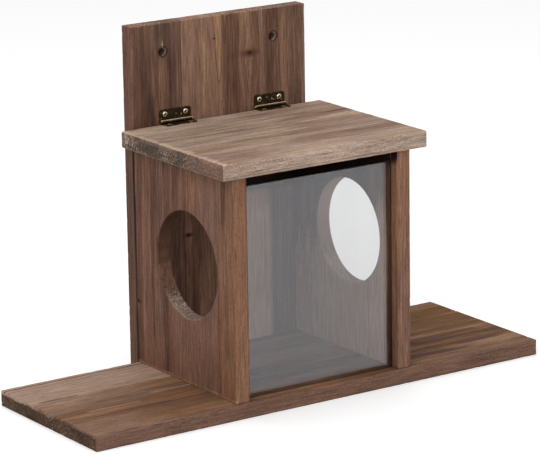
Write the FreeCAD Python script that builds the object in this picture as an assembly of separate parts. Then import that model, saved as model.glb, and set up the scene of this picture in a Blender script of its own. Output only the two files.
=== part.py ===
import FreeCAD, Part
import math
import os

# Squirrel feeder box, in millimetres: a feed box with a round entry in each side stands in the
# middle of a long landing board. Its roof is hinged to the back board, and its clear front pane
# slides up in grooves. X runs along the landing board, +Y goes back to the wall, +Z goes up. The
# origin lies on the underside of the landing board, in the middle of the whole length and depth.

# Landing board
base_length = 480.0
base_depth = 164.0
base_thickness = 14.5

# Box
box_width = 190.0
side_thickness = 14.5
side_height = 204.0
side_setback = 1.5          # front edges of the sides stand this far behind the base's front edge
back_height = 326.0
back_thickness = 14.5

# Roof
roof_thickness = 15.0
roof_side_overhang = 14.0
roof_front_overhang = 7.0   # past the front edges of the sides
roof_rear_gap = 3.0         # between the roof's rear edge and the back board

# Sanded edges
board_edge_bevel = 0.7
roof_edge_bevel = 1.0
entry_edge_bevel = 0.8

# Round entries
entry_diameter = 98.0
entry_from_front = 76.5     # middle of the entry behind the front edge of its side
left_entry_above_base = 110.0     # middle of the left entry above the top of the base
right_entry_above_base = 114.5    # the right one is bored a little higher

# Clear pane and its grooves
pane_thickness = 2.0
pane_height = 192.0
pane_face_clearance = 0.25
pane_edge_clearance = 0.5
groove_from_front = 8.75
groove_depth = 4.5

# Wall holes in the back board
wall_hole_spacing = 120.0
wall_hole_below_top = 27.0
wall_hole_diameter = 5.0
wall_countersink_diameter = 9.5

# Butt hinges, 34 mm long
left_hinge_from_end = 45.5    # middle of the left hinge from the left end of the back board
right_hinge_from_end = 41.5   # and of the right hinge from its right end
hinge_length = 34.0
hinge_reach = 11.2          # from the pin's axis to the outer edge of a leaf
leaf_thickness = 0.9
leaf_corner_radius = 3.0
leaf_root_bevel = 0.9       # where the leaf's underside rises to its knuckles
knuckle_count = 5
knuckle_radius = 1.8
knuckle_gap = 0.15
knuckle_clearance = 0.3     # between a knuckle and everything that it turns past
pin_radius = 0.9
pin_running_clearance = 0.05
pin_end_length = 0.6
pin_end_bevel = 0.3

# Hinge screws
hinge_screw_spacing = 22.0
hinge_screw_from_axis = 6.6
hinge_screw_head_radius = 2.4
hinge_screw_shank_radius = 1.2
hinge_screw_length = 11.0
hinge_screw_dome = 0.45

# Assembly screws
board_screw_head_radius = 3.6
board_screw_shank_radius = 1.75
board_screw_length = 38.0
side_screw_from_edge = 30.0
back_screw_heights = (25.0, 102.0, 179.0)
back_to_base_screw_spacing = 110.0

# All screws, and the holes that they sit in
screw_sides = 12            # small round things are made of this many flats
screw_tip_length = 3.0
screw_tip_radius = 0.3
screw_hole_clearance = 0.05
screw_hole_end_gap = 1.0

# Places that follow from the sizes
roof_reach = max(roof_front_overhang - side_setback, 0.0)
y_wall = (roof_reach + base_depth + back_thickness) / 2
y_back = y_wall - back_thickness
y_base_front = y_back - base_depth
y_side_front = y_base_front + side_setback
y_roof_front = y_side_front - roof_front_overhang
y_roof_rear = y_back - roof_rear_gap
z_base_top = base_thickness
z_side_top = z_base_top + side_height
z_roof_top = z_side_top + roof_thickness
x_side_outer = box_width / 2
x_side_inner = x_side_outer - side_thickness
x_side_middle = x_side_outer - side_thickness / 2
x_roof_end = x_side_outer + roof_side_overhang
x_groove_bottom = x_side_inner + groove_depth
x_left_hinge = left_hinge_from_end - x_side_outer
x_right_hinge = x_side_outer - right_hinge_from_end
groove_width = pane_thickness + 2 * pane_face_clearance
y_groove_front = y_side_front + groove_from_front
axis_offset = knuckle_radius + knuckle_clearance
y_axis = y_back - axis_offset
z_axis = z_roof_top + axis_offset

left = -1
right = 1
up = FreeCAD.Vector(0, 0, 1)
down = FreeCAD.Vector(0, 0, -1)
forward = FreeCAD.Vector(0, -1, 0)
backward = FreeCAD.Vector(0, 1, 0)
across = FreeCAD.Vector(1, 0, 0)
middle = FreeCAD.Vector(0, 0, 0)
overcut = 1.0               # how far a cutting tool runs past what it cuts
tolerance = 0.001


# Shapes that several pieces share

def span(x0, x1, y0, y1, z0, z1):
    corner = FreeCAD.Vector(min(x0, x1), y0, z0)
    return Part.makeBox(abs(x1 - x0), y1 - y0, z1 - z0, corner)


def board(x0, x1, y0, y1, z0, z1, edge_bevel):
    """A sawn board with the sharpness sanded off all its edges."""
    plain = span(x0, x1, y0, y1, z0, z1)
    return plain.makeChamfer(edge_bevel, plain.Edges)


def round_bar(radius, start, direction, length):
    return Part.makeCylinder(radius, length, start, direction)


def is_rim(edge, radius):
    if edge.Degenerated or not isinstance(edge.Curve, Part.Circle):
        return False
    return abs(edge.Curve.Radius - radius) < tolerance


def turned(corners, place, direction):
    """A solid of flats from a half outline of (radius, depth) corners; depth runs along direction."""
    turns = [2 * math.pi * side / screw_sides for side in range(screw_sides)]
    rings = [[FreeCAD.Vector(radius * math.cos(turn), radius * math.sin(turn), depth) for turn in turns]
             for radius, depth in corners]
    faces = [flat(rings[0]), flat(rings[-1])]
    for near, far in zip(rings, rings[1:]):
        for side in range(screw_sides):
            faces.append(flat([near[side - 1], near[side], far[side], far[side - 1]]))
    solid = Part.makeSolid(Part.makeShell(faces))
    if solid.Volume < 0:
        solid.reverse()
    solid.Placement = FreeCAD.Placement(place, FreeCAD.Rotation(up, direction))
    return solid


def flat(points):
    return Part.Face(Part.makePolygon(points + points[:1]))


def screw(place, direction, head_radius, shank_radius, length, dome):
    """A countersunk wood screw. Place is the middle of its head's rim, direction goes into the wood."""
    corners = [(head_radius, 0), (shank_radius, head_radius - shank_radius)]
    corners += [(shank_radius, length - screw_tip_length), (screw_tip_radius, length)]
    if dome > 0:
        corners.insert(0, (head_radius / 2, -dome))
    return turned(corners, place, direction)


def screw_hole(place, direction, head_radius, shank_radius, length):
    """The countersunk hole for such a screw. The cone under the screw's head bears on it."""
    hole_radius = shank_radius + screw_hole_clearance
    corners = [(head_radius + overcut, -overcut), (hole_radius, head_radius - hole_radius)]
    corners.append((hole_radius, length + screw_hole_end_gap))
    return turned(corners, place, direction)


# Assembly screws: each place is the middle of a head, flush with the board that it holds

def base_to_side_places(hand):
    x = hand * x_side_middle
    ends = (y_side_front + side_screw_from_edge, y_back - side_screw_from_edge)
    return [(FreeCAD.Vector(x, y, 0), up) for y in ends]


def back_to_side_places(hand):
    x = hand * x_side_middle
    return [(FreeCAD.Vector(x, y_wall, z_base_top + height), forward) for height in back_screw_heights]


def back_to_base_places():
    reach = back_to_base_screw_spacing / 2
    return [(FreeCAD.Vector(hand * reach, y_wall, base_thickness / 2), forward) for hand in (left, right)]


def board_screws(places):
    size = (board_screw_head_radius, board_screw_shank_radius, board_screw_length)
    return Part.makeCompound([screw(place, way, *size, 0) for place, way in places])


def bored(shape, places):
    size = (board_screw_head_radius, board_screw_shank_radius, board_screw_length)
    return shape.cut([screw_hole(place, way, *size) for place, way in places])


# Hinge screws: those of the back leaf point backward, those of the roof leaf point down

def hinge_screw_places(x_hinge, direction):
    places = []
    for hand in (left, right):
        x = x_hinge + hand * hinge_screw_spacing / 2
        if direction == backward:
            places.append(FreeCAD.Vector(x, y_back - leaf_thickness, z_axis + hinge_screw_from_axis))
        else:
            places.append(FreeCAD.Vector(x, y_axis - hinge_screw_from_axis, z_roof_top + leaf_thickness))
    return places


def hinge_screws(x_hinge, direction):
    size = (hinge_screw_head_radius, hinge_screw_shank_radius, hinge_screw_length, hinge_screw_dome)
    places = hinge_screw_places(x_hinge, direction)
    return Part.makeCompound([screw(place, direction, *size) for place in places])


def hinge_screw_holes(direction):
    size = (hinge_screw_head_radius, hinge_screw_shank_radius, hinge_screw_length)
    places = hinge_screw_places(x_left_hinge, direction) + hinge_screw_places(x_right_hinge, direction)
    return [screw_hole(place, direction, *size) for place in places]


# Boards and pane

def base_board():
    plank = board(-base_length / 2, base_length / 2, y_base_front, y_back, 0, z_base_top, board_edge_bevel)
    return bored(plank, base_to_side_places(left) + base_to_side_places(right) + back_to_base_places())


def wall_hole(x):
    """A hole right through the back board, with its countersink on the front."""
    mouth = FreeCAD.Vector(x, y_back, back_height - wall_hole_below_top)
    hole_radius = wall_hole_diameter / 2
    rim_radius = wall_countersink_diameter / 2
    hole = round_bar(hole_radius, mouth + forward * overcut, backward, back_thickness + 2 * overcut)
    sink = Part.makeCone(rim_radius, hole_radius, rim_radius - hole_radius, mouth, backward)
    return hole.fuse(sink)


def back_board():
    plank = board(-x_side_outer, x_side_outer, y_back, y_wall, 0, back_height, board_edge_bevel)
    plank = bored(plank, back_to_side_places(left) + back_to_side_places(right) + back_to_base_places())
    plank = plank.cut(hinge_screw_holes(backward))
    return plank.cut([wall_hole(hand * wall_hole_spacing / 2) for hand in (left, right)])


def side_panel(hand, entry_above_base):
    x0 = hand * x_side_inner
    x1 = hand * x_side_outer
    panel = board(x0, x1, y_side_front, y_back, z_base_top, z_side_top, board_edge_bevel)
    entry_radius = entry_diameter / 2
    y_entry = y_side_front + entry_from_front
    start = FreeCAD.Vector(min(x0, x1) - overcut, y_entry, z_base_top + entry_above_base)
    panel = panel.cut(round_bar(entry_radius, start, across, side_thickness + 2 * overcut))
    rims = [edge for edge in panel.Edges if is_rim(edge, entry_radius)]
    panel = panel.makeChamfer(entry_edge_bevel, rims)
    y1 = y_groove_front + groove_width
    groove = span(x0 - hand * overcut, hand * x_groove_bottom, y_groove_front, y1,
                  z_base_top - overcut, z_side_top + overcut)
    return bored(panel.cut(groove), base_to_side_places(hand) + back_to_side_places(hand))


def roof_board():
    ends = (-x_roof_end, x_roof_end, y_roof_front, y_roof_rear, z_side_top, z_roof_top)
    return board(*ends, roof_edge_bevel).cut(hinge_screw_holes(down))


def front_pane():
    half_width = x_groove_bottom - pane_edge_clearance
    y = y_groove_front + pane_face_clearance
    return span(-half_width, half_width, y, y + pane_thickness, z_base_top, z_base_top + pane_height)


# Butt hinges: a leaf is made lying flat, with the pin's axis on X and its plate forward and below

def knuckle_span(index):
    """Ends of one knuckle along the pin, with half a gap taken off where it meets a neighbour."""
    pitch = hinge_length / knuckle_count
    low = -hinge_length / 2 + index * pitch
    high = low + pitch
    if index > 0:
        low += knuckle_gap / 2
    if index < knuckle_count - 1:
        high -= knuckle_gap / 2
    return low, high


def leaf_plate():
    underside = -axis_offset
    top = underside + leaf_thickness
    outline = [(-hinge_reach, underside), (-leaf_root_bevel, underside), (0, -knuckle_radius), (0, top)]
    outline += [(-hinge_reach, top), (-hinge_reach, underside)]
    half = hinge_length / 2
    face = Part.Face(Part.makePolygon([FreeCAD.Vector(-half, y, z) for y, z in outline]))
    plate = face.extrude(across * hinge_length)
    return plate.makeFillet(leaf_corner_radius, [edge for edge in plate.Edges if is_outer_corner(edge)])


def is_outer_corner(edge):
    upright = abs(edge.Vertexes[0].Z - edge.Vertexes[-1].Z) > leaf_thickness / 2
    return upright and abs(edge.CenterOfMass.y + hinge_reach) < tolerance


def flat_leaf(own_knuckles, bore_radius):
    leaf = leaf_plate()
    for index in range(knuckle_count):
        low, high = knuckle_span(index)
        if index in own_knuckles:
            leaf = leaf.fuse(round_bar(knuckle_radius, FreeCAD.Vector(low, 0, 0), across, high - low))
    for index in range(knuckle_count):
        low, high = knuckle_span(index)
        if index not in own_knuckles:
            low -= knuckle_gap
            high += knuckle_gap
            leaf = leaf.cut(span(low, high, -axis_offset, axis_offset, -axis_offset - overcut, axis_offset))
    half = hinge_length / 2
    bore = round_bar(bore_radius, FreeCAD.Vector(-half - overcut, 0, 0), across, hinge_length + 2 * overcut)
    leaf = leaf.cut(bore).removeSplitter()
    size = (hinge_screw_head_radius, hinge_screw_shank_radius, hinge_screw_length)
    rim = FreeCAD.Vector(hinge_screw_spacing / 2, -hinge_screw_from_axis, leaf_thickness - axis_offset)
    rims = [FreeCAD.Vector(hand * rim.x, rim.y, rim.z) for hand in (left, right)]
    return leaf.cut([screw_hole(rim, down, *size) for rim in rims])


def hinge_roof_leaf(x_hinge):
    leaf = flat_leaf(range(1, knuckle_count, 2), pin_radius + pin_running_clearance)
    leaf.translate(FreeCAD.Vector(x_hinge, y_axis, z_axis))
    return leaf


def hinge_back_leaf(x_hinge):
    """The other leaf stands up against the back board. The pin is tight in its knuckles."""
    leaf = flat_leaf(range(0, knuckle_count, 2), pin_radius)
    leaf.rotate(middle, across, -90)
    leaf.rotate(middle, up, 180)
    leaf.translate(FreeCAD.Vector(x_hinge, y_axis, z_axis))
    return leaf


def hinge_pin(x_hinge):
    length = hinge_length + 2 * pin_end_length
    start = FreeCAD.Vector(x_hinge - length / 2, y_axis, z_axis)
    pin = round_bar(pin_radius, start, across, length)
    return pin.makeChamfer(pin_end_bevel, [edge for edge in pin.Edges if is_rim(edge, pin_radius)])


# Every sub-part by its name

def all_parts():
    parts = {
        "base_board": base_board(),
        "back_board": back_board(),
        "left_side_panel": side_panel(left, left_entry_above_base),
        "right_side_panel": side_panel(right, right_entry_above_base),
        "roof_board": roof_board(),
        "front_pane": front_pane(),
        "back_to_base_screws": board_screws(back_to_base_places()),
    }
    for name, hand, x_hinge in (("left", left, x_left_hinge), ("right", right, x_right_hinge)):
        parts["base_to_" + name + "_side_screws"] = board_screws(base_to_side_places(hand))
        parts["back_to_" + name + "_side_screws"] = board_screws(back_to_side_places(hand))
        parts[name + "_hinge_back_leaf"] = hinge_back_leaf(x_hinge)
        parts[name + "_hinge_roof_leaf"] = hinge_roof_leaf(x_hinge)
        parts[name + "_hinge_pin"] = hinge_pin(x_hinge)
        parts[name + "_hinge_back_screws"] = hinge_screws(x_hinge, backward)
        parts[name + "_hinge_roof_screws"] = hinge_screws(x_hinge, down)
    return parts


os.makedirs("parts", exist_ok=True)
for name, shape in all_parts().items():
    shape.exportStep("parts/" + name + ".step")
    print(name, "solids", len(shape.Solids), "valid", shape.isValid(), "volume", round(shape.Volume, 2))
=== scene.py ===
import math

import bmesh
import bpy
from mathutils import Matrix, Vector


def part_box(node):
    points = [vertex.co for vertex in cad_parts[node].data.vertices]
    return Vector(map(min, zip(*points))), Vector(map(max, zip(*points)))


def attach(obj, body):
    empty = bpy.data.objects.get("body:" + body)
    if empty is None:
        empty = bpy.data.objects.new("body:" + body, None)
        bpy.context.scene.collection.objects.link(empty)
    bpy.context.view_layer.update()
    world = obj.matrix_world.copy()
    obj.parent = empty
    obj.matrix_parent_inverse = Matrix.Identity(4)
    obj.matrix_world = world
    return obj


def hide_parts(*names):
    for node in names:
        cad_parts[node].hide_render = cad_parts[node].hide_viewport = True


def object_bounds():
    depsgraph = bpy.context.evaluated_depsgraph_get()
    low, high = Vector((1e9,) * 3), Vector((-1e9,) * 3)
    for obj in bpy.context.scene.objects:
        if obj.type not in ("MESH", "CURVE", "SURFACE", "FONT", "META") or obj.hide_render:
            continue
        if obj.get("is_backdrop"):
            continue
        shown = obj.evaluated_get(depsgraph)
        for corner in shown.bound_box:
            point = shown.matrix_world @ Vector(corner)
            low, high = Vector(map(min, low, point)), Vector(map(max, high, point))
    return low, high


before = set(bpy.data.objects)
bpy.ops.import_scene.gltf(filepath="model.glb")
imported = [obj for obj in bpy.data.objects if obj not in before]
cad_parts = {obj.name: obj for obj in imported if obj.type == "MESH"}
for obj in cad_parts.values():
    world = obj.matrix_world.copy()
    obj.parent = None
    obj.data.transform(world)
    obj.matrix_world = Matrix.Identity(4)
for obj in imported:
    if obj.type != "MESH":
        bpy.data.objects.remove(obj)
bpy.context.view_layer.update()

# Squirrel feeder box: stained softwood boards, a hinged roof, a clear sliding pane and its screws.
# Lengths below are in millimetres unless a note says otherwise; the scene itself is in metres.

mm = 0.001
axisNames = "XYZ"


def shade(red, green, blue):
    # a screen colour, 0 to 255, as the linear colour that a shader takes
    values = [c / 255 for c in (red, green, blue)]
    return tuple(c / 12.92 if c < 0.04045 else ((c + 0.055) / 1.055) ** 2.4 for c in values) + (1.0,)


# Node helpers

def addNode(tree, kind, inputs=None, **settings):
    made = tree.nodes.new(kind)
    for name, value in settings.items():
        setattr(made, name, value)
    for name, value in (inputs or {}).items():
        if isinstance(value, bpy.types.NodeSocket):
            tree.links.new(value, made.inputs[name])
        else:
            made.inputs[name].default_value = value
    return made


def maths(tree, operation, *values):
    return addNode(tree, "ShaderNodeMath", dict(enumerate(values)), operation=operation).outputs[0]


def plus(tree, first, second):
    return maths(tree, "ADD", first, second)


def minus(tree, first, second):
    return maths(tree, "SUBTRACT", first, second)


def times(tree, first, second):
    return maths(tree, "MULTIPLY", first, second)


def timesPlus(tree, first, second, third):
    return maths(tree, "MULTIPLY_ADD", first, second, third)


def vectorMaths(tree, operation, *values, result="Vector"):
    return addNode(tree, "ShaderNodeVectorMath", dict(enumerate(values)), operation=operation).outputs[result]


def lengthOf(tree, vector):
    return vectorMaths(tree, "LENGTH", vector, result="Value")


def apart(tree, first, second):
    return maths(tree, "ABSOLUTE", minus(tree, first, second))


def split(tree, vector):
    parts = addNode(tree, "ShaderNodeSeparateXYZ", {0: vector})
    return {name: parts.outputs[name] for name in axisNames}


def combine(tree, x, y, z):
    return addNode(tree, "ShaderNodeCombineXYZ", {0: x, 1: y, 2: z}).outputs[0]


def mapRange(tree, value, fromMin, fromMax, toMin=0.0, toMax=1.0, smooth=True):
    inputs = {"Value": value, "From Min": fromMin, "From Max": fromMax, "To Min": toMin, "To Max": toMax}
    kind = "SMOOTHSTEP" if smooth else "LINEAR"
    return addNode(tree, "ShaderNodeMapRange", inputs, interpolation_type=kind).outputs["Result"]


def fade(tree, value, start, end, first, last=0.0):
    # from the first strength to the last, between two distances in millimetres
    return mapRange(tree, value, start * mm, end * mm, first, last)


noiseSpan = (0.3, 0.7)      # a noise seldom leaves this range


def noise(tree, vector, scale=1.0, detail=2.0, roughness=0.5):
    inputs = {"Vector": vector, "Scale": scale, "Detail": detail, "Roughness": roughness}
    return addNode(tree, "ShaderNodeTexNoise", inputs).outputs[0]


def stretched(tree, place, x, y, z):
    return vectorMaths(tree, "MULTIPLY", place, (x, y, z))


def ramp(tree, factor, stops, interpolation="LINEAR"):
    made = addNode(tree, "ShaderNodeValToRGB", {"Fac": factor})
    made.color_ramp.interpolation = interpolation
    elements = made.color_ramp.elements
    while len(elements) < len(stops):
        elements.new(1.0)
    for element, (position, colour) in zip(elements, stops):
        element.position = position
        element.color = colour
    return made.outputs["Color"]


def mixColour(tree, factor, first, second, mode="MIX"):
    # this node's sockets are numbered: the factor is 0, the colours are 6 and 7, and the result is 2
    made = addNode(tree, "ShaderNodeMix", data_type="RGBA", blend_type=mode, clamp_factor=True)
    for index, value in ((0, factor), (6, first), (7, second)):
        if isinstance(value, bpy.types.NodeSocket):
            tree.links.new(value, made.inputs[index])
        else:
            made.inputs[index].default_value = value
    return made.outputs[2]


def newMaterial(name):
    material = bpy.data.materials.new(name)
    material.use_nodes = True
    return material, material.node_tree, material.node_tree.nodes["Principled BSDF"]


def middleOfThree(tree, a, b, c):
    low = maths(tree, "MINIMUM", a, b)
    high = maths(tree, "MAXIMUM", a, b)
    return maths(tree, "MAXIMUM", low, maths(tree, "MINIMUM", high, c))


def edgeDistance(tree, place, low, high):
    # on a face of a box, the distance to the nearest edge of that face
    fromLow = vectorMaths(tree, "SUBTRACT", place, low)
    fromHigh = vectorMaths(tree, "SUBTRACT", high, place)
    sides = split(tree, vectorMaths(tree, "MINIMUM", fromLow, fromHigh))
    return middleOfThree(tree, sides["X"], sides["Y"], sides["Z"])


# Geometry Nodes helpers

def newTree(name, inputs):
    tree = bpy.data.node_groups.new(name, "GeometryNodeTree")
    tree.is_modifier = True
    tree.interface.new_socket("Geometry", in_out="INPUT", socket_type="NodeSocketGeometry")
    for label, (kind, value) in inputs.items():
        socket = tree.interface.new_socket(label, in_out="INPUT", socket_type="NodeSocket" + kind)
        if value is not None:
            socket.default_value = value
    tree.interface.new_socket("Geometry", in_out="OUTPUT", socket_type="NodeSocketGeometry")
    return tree, addNode(tree, "NodeGroupInput").outputs


def endTree(tree, geometry, material):
    real = addNode(tree, "GeometryNodeRealizeInstances", {"Geometry": geometry})
    finish = addNode(tree, "GeometryNodeSetMaterial", {"Geometry": real.outputs[0], "Material": material})
    addNode(tree, "NodeGroupOutput", {"Geometry": finish.outputs[0]})


def shadeByAngle(tree, geometry, degrees):
    # smooth, but for edges sharper than this
    angle = addNode(tree, "GeometryNodeInputMeshEdgeAngle").outputs[0]
    sharp = addNode(tree, "FunctionNodeCompare", {0: angle, 1: math.radians(degrees)}, data_type="FLOAT",
                    operation="GREATER_THAN").outputs[0]
    smooth = addNode(tree, "GeometryNodeSetShadeSmooth", {"Geometry": geometry})
    return addNode(tree, "GeometryNodeSetShadeSmooth", {
        "Geometry": smooth.outputs[0], "Selection": sharp, "Shade Smooth": False}, domain="EDGE").outputs[0]


def runTree(piece, tree, values):
    # the modifier's result becomes the piece's plain mesh
    modifier = piece.modifiers.new(tree.name, "NODES")
    modifier.node_group = tree
    for item in tree.interface.items_tree:
        if item.in_out == "INPUT" and item.name in values:
            modifier[item.identifier] = values[item.name]
    evaluated = piece.evaluated_get(bpy.context.evaluated_depsgraph_get())
    made = bpy.data.meshes.new_from_object(evaluated)
    piece.modifiers.remove(modifier)
    piece.data = made
    made.name = piece.name


# Boards

# The grain's noises: scale per metre along the grain, across it and through the board; detail; roughness.
grainNoises = {
    "fibre": ((40, 640, 640), 3.0, 0.6),
    "fleck": ((75, 950, 950), 1.0, 0.5),
    "speck": ((420, 1250, 1250), 2.0, 0.6),
    "lines": ((5, 170, 170), 3.0, 0.6),
    "streak": ((4, 64, 64), 6.0, 0.7),
    "broad": ((2.2, 27, 27), 2.0, 0.5),
    "warmth": ((2.8, 42, 42), 3.0, 0.5),
    "drift": ((3.2, 9, 9), 1.0, 0.5),
}

woodGrain = {
    "wobbleScale": (6, 18, 18),         # per metre, as the other scales are
    "speckNoise": (0.34, 0.66),
    "fleckNoise": (0.6, 0.74),
    "wearNoise": (0.45, 0.7),
    "sawScale": (180, 110, 190),
    "blotchScale": 17,
    "speckleScale": 560,
    "wearScale": 170,
    "wobble": 3.5,
    "seedShift": (7.3, 3.1, 0.0),       # metres for each whole seed
    "seedDepth": 0.37,                  # the same, through the board
    "staveShift": (4.7, 0.9),           # metres along and across, times a stave's offset
    "ringSpacing": 3.8,
    "pithDepth": 26,                    # the rings' middle lies this far behind the face
    "pithSpread": 60,
    "pithDrift": 22,
    "lateWoodRise": (0.35, 0.9),        # shares of a ring
    "lateWoodFall": (0.93, 1.0),
    "figureShares": (0.66, 0.34, -0.03),    # of streaks, broad bands and late wood
    "figureMiddle": 0.49,
    "figureSpread": 0.115,
    "warmthRange": (0.36, 0.64),
    "warm": (1.04, 1.0, 0.88, 1.0),
    "cool": (0.98, 0.985, 1.04, 1.0),
    "faceTurn": (0.5, 0.8),             # of the normal towards an end or a long edge
    "endShares": (0.65, 0.35, -0.05),   # of speckle, saw marks and late wood
    "endSpread": 0.13,
    "endLightAt": 0.85,
    "endCover": 0.82,
    "jointNoise": (0.4, 0.6),
    "fibreTone": (0.68, 1.3),
    "blotchTone": (0.9, 1.09),
    "fleckTone": 0.72,
    "lineWidth": 0.02,
    "edgeSpeck": 0.1,
    "wearWidth": (0.1, 1.6),
    "wearFade": (0.4, 1.0),             # shares of the worn width
    "rubbed": (1.9, 1.85, 1.8, 1.0),
    "reliefShares": (0.5, 0.3, 0.2),    # of fibre, streaks and late wood
    "endRelief": 1.2,                   # speckle beside the saw marks
    "bump": 0.8,
    "bumpDistance": 0.35,
    "roughness": (0.62, 0.86),
    "gloss": 0.12,
}

boardSurface = {
    "step": 2.5,                # grid of the board's surface
    "edgeSteps": (1.3, 2.4),    # finer lines beside each edge
    "merge": 0.002,             # points closer than this become one
    "snap": 0.001,              # a cut takes over points as close as this
    "near": 0.02,               # a point this close to a line or a wall lies on it
    "flatAngle": 0.5,           # degrees
    "boreBand": 1.2,            # outside the bore's radius
    "jointWidth": 0.55,         # half of the groove between two staves
    "jointDepth": 0.22,
    "nickDepth": 0.45,
    "nickWidth": 1.7,
    "nickScale": 170,           # per metre
    "nickNoise": (0.5, 0.72),
    "smoothBelow": 52,          # degrees
}

patchEdge = {
    "taper": 8,                 # a patch fades this much slower along the grain
    "throughFade": 4.0,         # and this much faster through the board
    "streakGain": 5.0,
    "ragged": 0.8,              # how far the streaks move its border, as a share of its blur
    "raggedSolid": 0.08,        # the same for a solid patch
    "solidAbove": 1.2,          # a patch of a greater strength is solid
}

knotShape = {
    "eyeSquash": 1.5,           # how much shorter along the grain than across it
    "lensSquash": 2.6,
    "bendSquash": 0.35,
    "bend": 0.8,
    "eyeFade": (0.7, 1.3),      # shares of the knot's radius
    "lensStrength": 0.9,
    "eyeTint": (40, 26, 19),
    "lensTint": (76, 46, 33),
    "gritScale": 900,
    "gritNoise": (0.35, 0.65),
    "grit": 0.75,
}

flameShape = {
    "widening": 0.5,            # power of the way up from its tip
    "insideFade": (-0.6, 0.2),
    "lineFade": (0.2, 0.9),
    "strength": 0.6,
    "tipFade": (0.05, 0.02),    # of the inside and of its line, as shares of the way up
}

staveJoint = {"fade": (0.15, 0.65), "strength": 0.42, "faint": 0.4, "tint": (48, 34, 27)}

# The entry's wall: heights are from the bore's middle. Its upper part gets painted shading.
entryWall = {
    "fade": (0.4, 0.9),         # outside the bore's radius
    "upper": (-30, 35),
    "upperShadingStrength": (0.25, 0.9),
    "foot": (-46, -24),
    "footStrength": 0.62,
    "footSpeckle": (0.44, 0.62),
    "footLeast": 0.1,
}

# Each wall hole has a dark core of painted shade, which lies towards -X, a painted highlight on the cone on
# its other side and a rim of painted shade.
wallHole = {
    "coneRadius": 3.8,
    "coneFade": (0.2, 0.9),
    "coneStrength": 0.75,
    "coneSide": 2.5,
    "coneHighlightTint": (124, 102, 88),
    "coreShift": 1.3,
    "coreFade": (3.1, 3.9),
    "coreStrength": 0.98,
    "rimRadius": 4.8,
    "rimFade": (0.2, 0.8),
    "rimStrength": 0.7,
    "holeShadeTint": (12, 7, 5),
}

# Painted shadow of the roof: inside the box the wood is darker above a slope that falls from the pane's top
# towards the back.
roofShadeInside = {
    "tint": (30, 19, 14),
    "paneTop": (-74, 206),      # y and z
    "slope": 0.311,
    "fade": (-6, 3),
    "ragged": 8,
    "faceFade": (0.5, 0.7),     # from the inner face
    "boxTop": (217.8, 219),
}

whole = (-500, 500)

boardDefaults = {"knots": (), "flames": (), "holes": (), "endBlotch": 0.5, "endContrast": 1.0}

sideBoard = {
    "body": "box", "slot": "side_wood", "axes": "ZYX",
    "endDark": (56, 43, 36), "endLight": (168, 149, 136), "endFleck": (205, 190, 178),
    "nicks": 0.8, "wear": 0.14, "lines": 0.78,
}

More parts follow.
